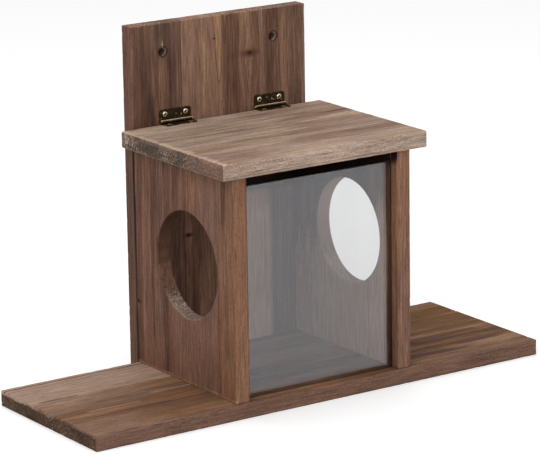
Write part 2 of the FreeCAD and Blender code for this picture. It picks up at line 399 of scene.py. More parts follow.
# A stave is: where it starts across the board, its tone, and the offset of its piece of the grain.
# A knot is: its place along and across, its eye's radius and its lens's.
# A flame is: its tip and top along the grain, its middle across it, half its width, colour.
# A patch is: range along the grain, across it and through the board, blur, colour, strength.
# Nicks, wear, speck and lines say how worn and lively a board is; sawnEdge says how far its long
# edges hide the figure.
boards = {
    "baseBoard": {
        "node": "base_board", "body": "box", "slot": "base_wood", "axes": "XYZ",
        "dark": (76, 51, 37), "middle": (115, 82, 58), "light": (146, 111, 83), "contrast": 0.88,
        "endDark": (26, 18, 14), "endLight": (82, 62, 49), "endFleck": (154, 126, 106),
        "staves": ((-87, 0.98, 0.10), (-46, 0.95, 0.55), (-3, 1.0, 0.25), (31, 1.0, 0.80)),
        "nicks": 1.3, "wear": 0.16, "speck": 0.14, "lines": 0.72,
        "sawnEdge": 0.75, "edgeToneAndShade": (108, 81, 66),
        "patches": (
            ((-250, -95), (24, 78), (13, 15), 9, (174, 147, 129), 0.78),
            ((-250, -97), (-84, -30), (13, 15), 9, (157, 112, 88), 0.2),
            ((-250, -150), (-12, 20), (13, 15), 8, (142, 114, 97), 0.6),
            ((-175, -98), (-68, -44), (13, 15), 6, (108, 77, 57), 0.7),
            ((-250, -200), (-88, -52), (13, 15), 9, (138, 108, 92), 0.6),
            ((-135, -97), (-0.8, 1.6), (13, 15), 0.8, (60, 42, 32), 0.9),
            ((-132, -97), (-10, -8), (13, 15), 0.8, (160, 128, 104), 0.7),
            ((-187, -158), (-6, -4.4), (13, 15), 0.8, (82, 58, 46), 0.7),
            ((-206, -160), (-26, -23.5), (13, 15), 0.8, (160, 132, 110), 0.7),
            ((-228, -196), (21.5, 23.5), (13, 15), 0.8, (92, 66, 54), 0.7),
            ((-250, -97), (70, 71.2), (13, 15), 0.7, (78, 54, 42), 0.8),
            ((-250, -97), (63.5, 64.3), (13, 15), 0.6, (92, 66, 54), 0.6),
            ((-222, -98), (-40.6, -39.8), (13, 15), 0.8, (76, 52, 40), 0.7),
            ((-231, -192), (11, 13), (13, 15), 1.6, (160, 134, 114), 0.6),
            ((96, 215), (-8, 52), (13, 15), 6, (108, 73, 42), 1.0),
            ((190, 236), (-12, 24), (13, 15), 5, (108, 77, 48), 0.8),
            ((96, 180), (60, 78), (13, 15), 5, (94, 71, 58), 0.7),
            ((100, 215), (-23, -18), (13, 15), 2.2, (80, 54, 41), 0.9),
            ((100, 190), (-31, -29), (13, 15), 1.8, (82, 56, 46), 0.8),
            ((190, 216), (-54, -48), (13, 15), 2.0, (78, 54, 44), 0.75),
            ((96, 175), (-67, -60), (13, 15), 2.5, (82, 56, 46), 0.85),
            ((120, 178), (-81, -76), (13, 15), 2.0, (142, 104, 68), 0.7),
            ((190, 235), (-67, -58), (13, 15), 4, (146, 116, 90), 0.6),
            ((150, 240), (-87, -78), (13, 15), 4, (114, 86, 76), 0.6),
            (whole, (-88, -85), (-1, 15.5), 1.0, (106, 79, 68), 0.55),
            (whole, (-88, -85), (-1, 0.5), 0.6, (58, 30, 24), 0.75),
        ),
        "seed": 1.0,
    },
    "backBoard": {
        "node": "back_board", "body": "box", "slot": "back_wood", "axes": "ZXY", "innerFace": 77.5,
        "dark": (74, 50, 40), "middle": (104, 76, 62), "light": (134, 104, 86), "contrast": 1.0,
        "endDark": (96, 66, 54), "endLight": (176, 140, 120), "endFleck": (200, 168, 148),
        "staves": ((-95, 0.88, 0.30), (-42, 1.09, 0.72), (3, 0.98, 0.15), (46, 0.93, 0.90)),
        "knots": ((287, 33, 2.6, 15), (125.4, -37.7, 2.2, 8), (305, -5.5, 0.9, 3)),
        "holes": ((299.6, -60.8), (299.6, 59.2)),
        "flames": ((263, 335, -1.5, 5.5, (144, 110, 82)),),
        "nicks": 1.0, "wear": 0.22, "speck": 0.13, "lines": 0.86,
        "sawnEdge": 0.5, "edgeToneAndShade": (100, 72, 58),
        "patches": (
            ((300, 318), (-66, -58), whole, 2.5, (70, 59, 48), 0.6),
            ((200, 250), (-75, -71), whole, 3, (58, 42, 34), 0.75),
            ((232, 330), (-95, -88), whole, 4, (112, 80, 68), 0.5),
            ((200, 322), (-41, 2), whole, 3, (138, 108, 90), 0.5),
            ((242, 300), (-18.8, -17), whole, 1.2, (150, 120, 92), 0.55),
            ((236, 326), (45, 47.5), whole, 1.6, (134, 108, 96), 0.6),
            ((244, 314), (68, 70), whole, 1.6, (138, 102, 72), 0.6),
            ((234, 300), (12, 30), whole, 8, (92, 64, 52), 0.5),
            ((228, 330), (72, 95), whole, 8, (90, 68, 54), 0.5),
            (whole, (-42.6, -41.6), whole, 0.5, (60, 40, 32), 0.5),
            # painted shadow in the seam where the left side meets the back board
            ((0, 218), (-96, -94), (77, 79), 0.7, (40, 25, 20), 0.8),
            # painted light: a pale patch on the inner face stands in for the light that comes in through the
            # pane
            ((15, 112), (24, 49), (77, 78.2), 9, (182, 150, 128), 1.25),
            ((305, 307), (-62, -61), whole, 0.6, (170, 138, 104), 0.9),
        ),
        "seed": 2.0,
    },
    "leftSide": {
        **sideBoard, "node": "left_side_panel", "innerFace": -80.5,
        "dark": (74, 49, 40), "middle": (106, 76, 63), "light": (132, 97, 80), "contrast": 0.95,
        "staves": ((-85, 1.03, 0.35), (-58, 1.0, 0.6), (-5, 0.97, 0.05), (40, 1.0, 0.85)),
        "knots": ((73.5, 75, 2.8, 8),),
        "speck": 0.18, "sawnEdge": 0.15, "edgeToneAndShade": (124, 90, 70),
        "bore": (124.5, -8.5, 49), "wallTint": (66, 44, 32), "wallFoot": (180, 166, 152),
        "patches": (
            (whole, (-86, -62), whole, 6, (128, 92, 68), 0.62),
            (whole, (-86, -84.5), whole, 1.5, (120, 86, 64), 0.5),
            ((14, 28), (-70, 78), whole, 8, (126, 84, 62), 0.45),
            ((178, 212), (-72, -66), whole, 2.5, (64, 44, 34), 0.7),
            ((60, 160), (-74, -71), whole, 1.6, (92, 62, 46), 0.6),
            ((50, 218), (48, 50), whole, 1.2, (74, 50, 42), 0.6),
            ((14, 110), (26, 31), whole, 2.2, (82, 56, 48), 0.6),
            ((14, 90), (-38, -34), whole, 2.0, (84, 58, 48), 0.55),
            # painted shadow in the seam with the back board, on the outer face
            (whole, (75.4, 78), (-96, -94), 0.7, (36, 22, 16), 1.1),
            ((14, 78), (-48, 8), whole, 12, (130, 97, 82), 0.5),
            ((150, 205), (-62, -30), whole, 8, (122, 91, 77), 0.6),
            (whole, (66, 73), (-96, -94), 3, (84, 56, 44), 0.6),
            (whole, (-86, -84), (-81.5, -80), 0.8, (70, 46, 34), 0.6),
            ((14, 15.4), (-86, 78), (-96, -94), 0.3, (154, 116, 92), 0.8),
        ),
        "seed": 3.0,
    },
    "rightSide": {
        **sideBoard, "node": "right_side_panel", "innerFace": 80.5,
        "dark": (72, 48, 39), "middle": (102, 74, 62), "light": (130, 98, 80), "contrast": 1.0,
        "staves": ((-85, 1.04, 0.65), (-40, 0.94, 0.2), (10, 1.03, 0.45), (52, 0.98, 0.95)),
        "speck": 0.15, "sawnEdge": 0.0, "edgeToneAndShade": (110, 80, 66),
        "bore": (129, -8.5, 49), "wallTint": (168, 148, 132), "wallFoot": (168, 148, 132),
        "patches": (
            (whole, (-86, -84), (84, 85.4), 0.8, (150, 118, 104), 0.55),
            ((14, 60), (-86, -60), whole, 7, (92, 66, 58), 0.5),
            ((150, 218), (-86, -60), whole, 9, (124, 88, 66), 0.5),
            # painted light: pale patches on the inner face stand in for the light that comes in through the
            # pane
            ((15, 78), (-66, 78), (80, 81), 5, (186, 152, 129), 1.2),
            ((15, 140), (-66, -42), (80, 81), 4, (184, 150, 128), 1.0),
        ),
        "seed": 4.0,
    },
    "roofBoard": {
        "node": "roof_board", "body": "roof", "slot": "roof_wood", "axes": "XYZ",
        "dark": (130, 106, 92), "middle": (162, 139, 123), "light": (185, 164, 148), "contrast": 0.72,
        "endDark": (26, 18, 14), "endLight": (130, 106, 92), "endFleck": (190, 168, 152),
        "staves": ((-92, 1.06, 0.4), (-60, 0.99, 0.75), (-4, 1.0, 0.1), (13, 0.96, 0.55), (44, 0.98, 0.9)),
        "nicks": 1.8, "wear": 0.5, "speck": 0.17, "lines": 0.84,
        "sawnEdge": 0.8, "edgeToneAndShade": (138, 118, 105), "endContrast": 1.5, "endBlotch": 0.55,
        "patches": (
            ((-106, -20), (12.5, 14), (232, 235), 1.6, (92, 80, 66), 0.75),
            ((-30, 60), (10.5, 12), (232, 235), 1.4, (98, 84, 70), 0.65),
            ((60, 108), (22, 36), (232, 235), 5, (122, 92, 76), 0.75),
            ((92, 106), (27, 30), (232, 235), 2.5, (84, 54, 42), 0.7),
            ((50, 108), (42, 75), (232, 235), 8, (138, 113, 97), 0.6),
            ((40, 108), (-30, 4), (232, 235), 9, (134, 107, 91), 0.75),
            ((62, 106), (-55, -50), (232, 235), 2.2, (92, 62, 48), 0.85),
            ((20, 108), (-62, -44), (232, 235), 6, (130, 101, 85), 0.75),
            ((-112, -70), (-8, 40), (232, 235), 12, (130, 112, 98), 0.5),
            ((-109, 109), (34, 35), (232, 235), 1.0, (112, 92, 78), 0.5),
            ((-109, 60), (-92, -62), (232, 235), 8, (150, 128, 112), 0.5),
            (whole, (66, 76), (232, 235), 2.5, (166, 142, 126), 0.45),
            ((-110, -108), (-95, -42), whole, 10, (118, 88, 75), 0.6),
            ((-110, -108), (69, 76), whole, 3, (76, 72, 62), 0.6),
            ((-110, -107.6), (-92, 75), (232.8, 234), 0.7, (186, 158, 140), 0.8),
            ((-110, -108), (-92, 75), (218, 219.2), 0.5, (160, 136, 118), 0.75),
            (whole, (-93, -91.5), (219, 233), 0.5, (156, 137, 123), 0.6),
            (whole, (-94, -91), (220.5, 221.5), 0.5, (96, 76, 62), 0.45),
        ),
        "seed": 5.0,
    },
}


def boardAxes(board):
    # the board's lowest and highest corner as along, across and through
    order = [axisNames.index(letter) for letter in board["axes"]]
    return ([corner[i] for i in order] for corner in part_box(board["node"]))


def boardPlace(tree, board):
    # where a point lies on its board, and how far it faces the board's ends and its long edges
    texture = addNode(tree, "ShaderNodeTexCoord")
    place = split(tree, texture.outputs["Object"])
    normal = split(tree, texture.outputs["Normal"])
    along, across, through = (place[letter] for letter in board["axes"])
    own = combine(tree, along, across, through)
    onEnd, onEdge = (mapRange(tree, maths(tree, "ABSOLUTE", normal[letter]), *woodGrain["faceTurn"])
                     for letter in board["axes"][:2])

    # the fibres run a little crooked
    seeded = vectorMaths(tree, "ADD", own, [board["seed"] * step for step in woodGrain["seedShift"]])
    wobble = noise(tree, stretched(tree, seeded, *woodGrain["wobbleScale"]), detail=2.0)
    shift = times(tree, minus(tree, wobble, 0.5), woodGrain["wobble"] * mm)
    return {
        "own": own, "along": along, "straightAcross": across, "across": plus(tree, across, shift),
        "through": through, "depth": place["Y"], "height": place["Z"], "onEnd": onEnd, "onEdge": onEdge,
    }


def bendRoundKnots(tree, board, place):
    # the fibres bend round each knot, which has a dark eye in a wider lens
    eye, lens = 0.0, 0.0
    for knotAlong, knotAcross, radius, spread in board["knots"]:
        fromAcross = minus(tree, place["straightAcross"], knotAcross * mm)
        flat = combine(tree, minus(tree, place["along"], knotAlong * mm), fromAcross, 0.0)
        toEye, toLens, toBend = (lengthOf(tree, stretched(tree, flat, knotShape[name], 1.0, 1.0))
                                 for name in ("eyeSquash", "lensSquash", "bendSquash"))
        pull = fade(tree, toBend, 0.0, spread, knotShape["bend"])
        place["across"] = minus(tree, place["across"], times(tree, fromAcross, pull))
        start, end = (radius * share for share in knotShape["eyeFade"])
        eye = maths(tree, "MAXIMUM", eye, fade(tree, toEye, start, end, 1.0))
        lens = maths(tree, "MAXIMUM", lens, fade(tree, toLens, radius, spread, knotShape["lensStrength"]))
    place["eye"], place["lens"] = eye, lens


def woodFields(tree, board, place):
    # each glued stave has its own tone and its own piece of the grain
    low, high = boardAxes(board)
    stops = []
    for start, tone, offset in board["staves"]:
        position = (start * mm - low[1]) / (high[1] - low[1])
        stops.append((max(position, 0.0), (tone / 2, offset, 0.0, 1.0)))
    factor = mapRange(tree, place["straightAcross"], low[1], high[1], smooth=False)
    stave = addNode(tree, "ShaderNodeSeparateColor", {0: ramp(tree, factor, stops, "CONSTANT")})
    offset = stave.outputs[1]
    shiftAlong, shiftAcross = woodGrain["staveShift"]
    grainPlace = combine(
        tree,
        timesPlus(tree, offset, shiftAlong, place["along"]),
        timesPlus(tree, offset, shiftAcross, place["across"]),
        plus(tree, place["through"], board["seed"] * woodGrain["seedDepth"]),
    )
    wood = {name: noise(tree, stretched(tree, grainPlace, *scale), detail=detail, roughness=roughness)
            for name, (scale, detail, roughness) in grainNoises.items()}
    wood["tone"] = times(tree, stave.outputs[0], 2.0)
    wood["blotch"] = noise(tree, vectorMaths(tree, "ADD", place["own"], (board["seed"], 0.0, 0.0)),
                           scale=woodGrain["blotchScale"], detail=4.0)
    wood["speckle"] = noise(tree, grainPlace, scale=woodGrain["speckleScale"], detail=3.0, roughness=0.7)
    sawPlace = stretched(tree, place["own"], *woodGrain["sawScale"])
    wood["saw"] = noise(tree, sawPlace, detail=4.0, roughness=0.7)

    # growth rings about a pith that lies behind the face and drifts along the board
    pithAcross = timesPlus(tree, offset, woodGrain["pithSpread"] * mm, low[1])
    fromPith = combine(tree, minus(tree, place["across"], pithAcross),
                       minus(tree, place["through"], low[2] - woodGrain["pithDepth"] * mm), 0.0)
    distance = timesPlus(tree, wood["drift"], woodGrain["pithDrift"] * mm, lengthOf(tree, fromPith))
    phase = maths(tree, "FRACT", maths(tree, "DIVIDE", distance, woodGrain["ringSpacing"] * mm))
    wood["lateWood"] = times(tree, mapRange(tree, phase, *woodGrain["lateWoodRise"]),
                             mapRange(tree, phase, *woodGrain["lateWoodFall"], 1.0, 0.0))
    return wood


def figureColour(tree, board, wood):
    streakShare, broadShare, lateShare = woodGrain["figureShares"]
    figure = times(tree, wood["streak"], streakShare)
    figure = timesPlus(tree, wood["broad"], broadShare, figure)
    figure = timesPlus(tree, wood["lateWood"], lateShare, figure)
    middle, spread = woodGrain["figureMiddle"], woodGrain["figureSpread"] / board["contrast"]
    figure = mapRange(tree, figure, middle - spread, middle + spread, smooth=False)
    colour = ramp(tree, figure, [(position, shade(*board[name])) for position, name in (
        (0.0, "dark"), (0.5, "middle"), (1.0, "light"))])
    warmth = mapRange(tree, wood["warmth"], *woodGrain["warmthRange"], smooth=False)
    tint = mixColour(tree, warmth, woodGrain["cool"], woodGrain["warm"])
    return mixColour(tree, 1.0, colour, tint, "MULTIPLY")


# The layers of a board's colour, from the bare wood out. Each takes the colour so far and returns the next.

def sawnFaces(tree, board, place, wood, colour):
    # the long edges are sawn rough, so less of the figure shows there; their tone is also set as painted
    # shading of those faces
    edgeCover = times(tree, place["onEdge"], board["sawnEdge"])
    colour = mixColour(tree, edgeCover, colour, shade(*board["edgeToneAndShade"]))

    # the ends show the saw's marks and open pores
    speckleShare, sawShare, lateShare = woodGrain["endShares"]
    factor = timesPlus(tree, wood["speckle"], speckleShare, times(tree, wood["saw"], sawShare))
    factor = timesPlus(tree, wood["lateWood"], lateShare, factor)
    factor = timesPlus(tree, minus(tree, wood["blotch"], 0.5), board["endBlotch"], factor)
    spread = woodGrain["endSpread"] / board["endContrast"]
    factor = mapRange(tree, factor, 0.5 - spread, 0.5 + spread, smooth=False)
    endColour = ramp(tree, factor, [(position, shade(*board[name])) for position, name in (
        (0.0, "endDark"), (woodGrain["endLightAt"], "endLight"), (1.0, "endFleck"))])
    return mixColour(tree, times(tree, place["onEnd"], woodGrain["endCover"]), colour, endColour)


def patches(tree, board, place, wood, colour):
    # patches and long streaks in places of their own
    spot = combine(tree, place["along"], place["across"], place["through"])
    ragged = times(tree, minus(tree, wood["streak"], 0.5), patchEdge["streakGain"])
    for alongRange, acrossRange, throughRange, blur, tint, strength in board["patches"]:
        ranges = (alongRange, acrossRange, throughRange)
        centre = [(a + b) / 2 * mm for a, b in ranges]
        half = [(b - a) / 2 * mm for a, b in ranges]
        away = vectorMaths(tree, "ABSOLUTE", vectorMaths(tree, "SUBTRACT", spot, centre))
        outside = vectorMaths(tree, "MAXIMUM", vectorMaths(tree, "SUBTRACT", away, half), (0.0, 0.0, 0.0))
        outside = stretched(tree, outside, 1 / patchEdge["taper"], 1.0, patchEdge["throughFade"])
        raggedShare = patchEdge["raggedSolid" if strength > patchEdge["solidAbove"] else "ragged"]
        reach = timesPlus(tree, ragged, blur * raggedShare * mm, lengthOf(tree, outside))
        colour = mixColour(tree, fade(tree, reach, 0.0, blur, strength), colour, shade(*tint))
    return colour


def paintRoofShadeInside(tree, board, place, wood, colour):
    if "innerFace" not in board:
        return colour
    # painted shadow: the roof's shade on the inner faces, above the slope
    paneY, paneZ = (value * mm for value in roofShadeInside["paneTop"])
    above = timesPlus(tree, minus(tree, place["depth"], paneY), roofShadeInside["slope"],
                      minus(tree, place["height"], paneZ))
    above = timesPlus(tree, minus(tree, wood["streak"], 0.5), roofShadeInside["ragged"] * mm, above)
    fromFace = apart(tree, place["through"], board["innerFace"] * mm)
    mask = times(tree, fade(tree, above, *roofShadeInside["fade"], 0.0, 1.0),
                 fade(tree, fromFace, *roofShadeInside["faceFade"], 1.0))
    mask = times(tree, mask, fade(tree, place["height"], *roofShadeInside["boxTop"], 1.0))
    return mixColour(tree, mask, colour, shade(*roofShadeInside["tint"]))


def flames(tree, board, place, wood, colour):
    # a pointed figure, where the saw ran through the rings at a slant
    for tip, top, centre, halfWidth, tint in board["flames"]:
        up = mapRange(tree, place["along"], tip * mm, top * mm, smooth=False)
        edgeAt = times(tree, maths(tree, "POWER", up, flameShape["widening"]), halfWidth * mm)
        beyond = minus(tree, apart(tree, place["across"], centre * mm), edgeAt)
        insideTip, lineTip = flameShape["tipFade"]
        inside = fade(tree, beyond, *flameShape["insideFade"], flameShape["strength"])
        inside = times(tree, inside, mapRange(tree, up, 0.0, insideTip))
        line = fade(tree, maths(tree, "ABSOLUTE", beyond), *flameShape["lineFade"], flameShape["strength"])
        line = times(tree, line, mapRange(tree, up, 0.0, lineTip))
        colour = mixColour(tree, inside, colour, shade(*tint))
        colour = mixColour(tree, line, colour, shade(*board["dark"]))
    return colour


def fineTones(tree, board, place, wood, colour):
    fibreTone = mapRange(tree, wood["fibre"], *noiseSpan, *woodGrain["fibreTone"], smooth=False)
    blotchTone = mapRange(tree, wood["blotch"], *noiseSpan, *woodGrain["blotchTone"], smooth=False)
    fleckTone = mapRange(tree, wood["fleck"], *woodGrain["fleckNoise"], 1.0, woodGrain["fleckTone"])
    speckReach = timesPlus(tree, place["onEdge"], woodGrain["edgeSpeck"] * board["sawnEdge"],
                           board["speck"])
    speckTone = mapRange(tree, wood["speck"], *woodGrain["speckNoise"], -1.0, 1.0, smooth=False)
    speckTone = timesPlus(tree, speckTone, speckReach, 1.0)
    lineTone = mapRange(tree, apart(tree, wood["lines"], 0.5), 0.0, woodGrain["lineWidth"],
                        board["lines"], 1.0)
    tone = wood["tone"]
    for factor in (fibreTone, blotchTone, fleckTone, speckTone, lineTone):
        tone = times(tree, tone, factor)
    return mixColour(tree, 1.0, colour, combine(tree, tone, tone, tone), "MULTIPLY")


def staveJoints(tree, board, place, wood, colour):
    # a dark line where two staves meet, fainter in places
    nearest = 1.0
    for start, _, _ in board["staves"][1:]:
        nearest = maths(tree, "MINIMUM", nearest, apart(tree, place["straightAcross"], start * mm))
    line = times(tree, fade(tree, nearest, *staveJoint["fade"], staveJoint["strength"]),
                 mapRange(tree, wood["broad"], *woodGrain["jointNoise"], staveJoint["faint"], 1.0))
    return mixColour(tree, line, colour, shade(*staveJoint["tint"]))


def boreWall(tree, board, place, wood, colour):
    # the entry's wall gets painted shading in its upper half, painted shade on the left board and painted
    # light on the right, and is gritty at its foot
    if "bore" not in board:
        return colour
    boreAlong, boreAcross, boreRadius = board["bore"]
    fromAlong = minus(tree, place["along"], boreAlong * mm)
    flat = combine(tree, fromAlong, minus(tree, place["straightAcross"], boreAcross * mm), 0.0)
    start, end = (boreRadius + reach for reach in entryWall["fade"])
    wall = fade(tree, lengthOf(tree, flat), start, end, 1.0)
    upper = fade(tree, fromAlong, *entryWall["upper"], *entryWall["upperShadingStrength"])
    colour = mixColour(tree, times(tree, wall, upper), colour, shade(*board["wallTint"]))
    speckle = mapRange(tree, wood["speckle"], *entryWall["footSpeckle"], entryWall["footLeast"], 1.0,
                       smooth=False)
    foot = fade(tree, fromAlong, *entryWall["foot"], entryWall["footStrength"])
    foot = times(tree, foot, speckle)
    return mixColour(tree, times(tree, wall, foot), colour, shade(*board["wallFoot"]))


def knots(tree, board, place, wood, colour):
    if not board["knots"]:
        return colour
    colour = mixColour(tree, place["lens"], colour, shade(*knotShape["lensTint"]))
    grit = noise(tree, place["own"], scale=knotShape["gritScale"], detail=2.0)
    grit = mapRange(tree, grit, *knotShape["gritNoise"], knotShape["grit"], 1.0)
    return mixColour(tree, times(tree, place["eye"], grit), colour, shade(*knotShape["eyeTint"]))


def wallHoles(tree, board, place, wood, colour):
    for holeAlong, holeAcross in board["holes"]:
        fromAcross = minus(tree, place["straightAcross"], holeAcross * mm)
        flat = combine(tree, minus(tree, place["along"], holeAlong * mm), fromAcross, 0.0)
        reach = lengthOf(tree, flat)
        # painted highlight on the cone's lit side, painted shade in the core and on the rim
        fromCone = apart(tree, reach, wallHole["coneRadius"] * mm)
        cone = times(tree, fade(tree, fromCone, *wallHole["coneFade"], wallHole["coneStrength"]),
                     fade(tree, fromAcross, 0.0, wallHole["coneSide"], 0.0, 1.0))
        colour = mixColour(tree, cone, colour, shade(*wallHole["coneHighlightTint"]))
        fromCore = lengthOf(tree, vectorMaths(tree, "ADD", flat, (0.0, wallHole["coreShift"] * mm, 0.0)))
        core = fade(tree, fromCore, *wallHole["coreFade"], wallHole["coreStrength"])
        fromRim = apart(tree, reach, wallHole["rimRadius"] * mm)
        rim = fade(tree, fromRim, *wallHole["rimFade"], wallHole["rimStrength"])
        colour = mixColour(tree, maths(tree, "MAXIMUM", core, rim), colour, shade(*wallHole["holeShadeTint"]))
    return colour


def rubbedEdges(tree, board, place, wood, colour):
    wear = noise(tree, place["own"], scale=woodGrain["wearScale"], detail=3.0, roughness=0.65)
    narrow, wide = woodGrain["wearWidth"]
    width = mapRange(tree, wear, *woodGrain["wearNoise"], narrow * mm, wide * mm)
    edge = edgeDistance(tree, place["own"], *boardAxes(board))
    cover = mapRange(tree, maths(tree, "DIVIDE", edge, width), *woodGrain["wearFade"], board["wear"], 0.0)
    return mixColour(tree, cover, colour, mixColour(tree, 1.0, colour, woodGrain["rubbed"], "MULTIPLY"))


def woodMaterial(name, board):
    material, tree, shader = newMaterial(name)
    place = boardPlace(tree, board)
    bendRoundKnots(tree, board, place)
    wood = woodFields(tree, board, place)
    colour = figureColour(tree, board, wood)
    for layer in (sawnFaces, patches, paintRoofShadeInside, flames, fineTones, staveJoints, boreWall, knots, wallHoles,
                  rubbedEdges):
        colour = layer(tree, board, place, wood, colour)

    fibreShare, streakShare, lateShare = woodGrain["reliefShares"]
    height = timesPlus(tree, wood["fibre"], fibreShare, times(tree, wood["streak"], streakShare))
    height = timesPlus(tree, wood["lateWood"], lateShare, height)
    endHeight = timesPlus(tree, wood["speckle"], woodGrain["endRelief"], wood["saw"])
    height = addNode(tree, "ShaderNodeMix", {0: place["onEnd"], 2: height, 3: endHeight}).outputs[0]
    bump = addNode(tree, "ShaderNodeBump", {
        "Height": height, "Strength": woodGrain["bump"], "Distance": woodGrain["bumpDistance"] * mm})
    smoothest, roughest = woodGrain["roughness"]
    tree.links.new(colour, shader.inputs["Base Color"])
    tree.links.new(mapRange(tree, wood["streak"], *noiseSpan, roughest, smoothest, smooth=False),
                   shader.inputs["Roughness"])
    tree.links.new(bump.outputs["Normal"], shader.inputs["Normal"])
    shader.inputs["Specular IOR Level"].default_value = woodGrain["gloss"]
    return material


def wornBoardTree():
    tree, given = newTree("wornBoard", {
        "Low Corner": ("Vector", (0, 0, 0)),
        "High Corner": ("Vector", (1, 1, 1)),
        "Nick Depth": ("Float", 0.0005),
        "Nick Width": ("Float", 0.002),
        "Nick Scale": ("Float", 100.0),
        "Seed": ("Float", 0.0),
        "Material": ("Material", None),
    })
    place = addNode(tree, "GeometryNodeInputPosition").outputs[0]
    normal = addNode(tree, "GeometryNodeInputNormal").outputs[0]
    edge = edgeDistance(tree, place, given["Low Corner"], given["High Corner"])
    near = mapRange(tree, edge, given["Nick Width"], 0.0)
    seeded = vectorMaths(tree, "ADD", place, combine(tree, given["Seed"], given["Seed"], 0.0))
    nicks = noise(tree, seeded, scale=given["Nick Scale"], detail=3.0, roughness=0.6)
    nicks = mapRange(tree, nicks, *boardSurface["nickNoise"])
    amount = times(tree, times(tree, near, nicks), given["Nick Depth"])
    inward = addNode(tree, "ShaderNodeVectorMath", {0: normal}, operation="SCALE")
    tree.links.new(times(tree, amount, -1.0), inward.inputs["Scale"])
    moved = addNode(tree, "GeometryNodeSetPosition", {
        "Geometry": given["Geometry"], "Offset": inward.outputs[0]})
    endTree(tree, shadeByAngle(tree, moved.outputs[0], boardSurface["smoothBelow"]), given["Material"])
    return tree


def cutAcross(work, axis, places):
    facing = Vector([1.0 if i == axis else 0.0 for i in range(3)])
    for place in sorted(places):
        bmesh.ops.bisect_plane(work, geom=work.verts[:] + work.edges[:] + work.faces[:],
                               dist=boardSurface["snap"] * mm, plane_co=facing * place, plane_no=facing)


def griddedMesh(name, board):
    # the node's solid as a closed mesh, cut into a fine grid
    surface = boardSurface
    low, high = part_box(board["node"])
    acrossAxis, throughAxis = (axisNames.index(letter) for letter in board["axes"][1:])
    near = surface["near"] * mm
    work = bmesh.new()
    work.from_mesh(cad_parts[board["node"]].data)
    bmesh.ops.remove_doubles(work, verts=work.verts, dist=surface["merge"] * mm)
    bmesh.ops.dissolve_limit(work, angle_limit=math.radians(surface["flatAngle"]), verts=work.verts,
                             edges=work.edges)

    facets = 0
    if "bore" in board:
        boreZ, boreY, boreRadius = (value * mm for value in board["bore"])

        def polar(vertex):
            y, z = vertex.co.y - boreY, vertex.co.z - boreZ
            return math.hypot(y, z), math.atan2(z, y)

        onWall = [vertex for vertex in work.verts if abs(polar(vertex)[0] - boreRadius) < near]
        facets = len(onWall) // 2
        firstAngle = polar(onWall[0])[1]

    for axis in range(3):
        count = max(int((high[axis] - low[axis]) / (surface["step"] * mm)), 1)
        places = [low[axis] + (high[axis] - low[axis]) * i / count for i in range(1, count)]
        places += [low[axis] + s * mm for s in surface["edgeSteps"]]
        places += [high[axis] - s * mm for s in surface["edgeSteps"]]
        cutAcross(work, axis, places)

    joints = [start * mm for start, _, _ in board["staves"][1:]]
    for joint in joints:
        half = surface["jointWidth"] * mm
        cutAcross(work, acrossAxis, (joint - half, joint, joint + half))
    for vertex in work.verts:
        if any(abs(vertex.co[acrossAxis] - joint) < near for joint in joints):
            for side, corner in ((1, low), (-1, high)):
                if abs(vertex.co[throughAxis] - corner[throughAxis]) < near:
                    vertex.co[throughAxis] += side * surface["jointDepth"] * mm

    # the bore's flats are drawn out to a true circle
    if facets:
        flat = math.tau / facets
        for vertex in work.verts:
            radius, angle = polar(vertex)
            if radius < boreRadius + surface["boreBand"] * mm:
                turn = (angle - firstAngle) % flat - flat / 2
                grow = math.cos(turn) / math.cos(flat / 2)
                vertex.co.y = boreY + (vertex.co.y - boreY) * grow
                vertex.co.z = boreZ + (vertex.co.z - boreZ) * grow
    mesh = bpy.data.meshes.new(name)
    work.to_mesh(mesh)
    work.free()
    return mesh


print("boards")
boardTree = wornBoardTree()
for boardName, settings in boards.items():
    board = {**boardDefaults, **settings}
    mesh = griddedMesh(boardName, board)
    piece = bpy.data.objects.new(boardName, mesh)
    bpy.context.scene.collection.objects.link(piece)
    low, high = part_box(board["node"])
    runTree(piece, boardTree, {
        "Low Corner": low, "High Corner": high, "Seed": board["seed"],
        "Nick Depth": boardSurface["nickDepth"] * board["nicks"] * mm,
        "Nick Width": boardSurface["nickWidth"] * mm, "Nick Scale": float(boardSurface["nickScale"]),
        "Material": woodMaterial(boardName + "Wood", board),
    })
    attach(piece, board["body"])
    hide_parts(board["node"])
    print("  ", boardName, len(piece.data.polygons), "faces")


# Pieces that keep the CAD's mesh

def paint(node, material):
    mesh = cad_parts[node].data
    mesh.materials.clear()
    mesh.materials.append(material)


# Clear pane

pane = {
    "gloss": (150, 151, 154),           # what each face mirrors of a white room, for its solid share
    "solid": (0.235, 0.26),             # share of the light that each face holds back
    "edge": 0.8,                        # the same on the sawn edges
    "roughness": (0.015, 0.05),
    "edgeRoughness": 0.4,               # more, on the sawn edges
    "wipeScale": (50, 50, 6),           # per metre
    "speckScale": 420,
    "speckNoise": (0.74, 0.8),
    "speck": 0.05,
    "roughNoise": (0.35, 0.65),
    "edgeTurn": (0.4, 0.6),             # of the normal towards an edge
}


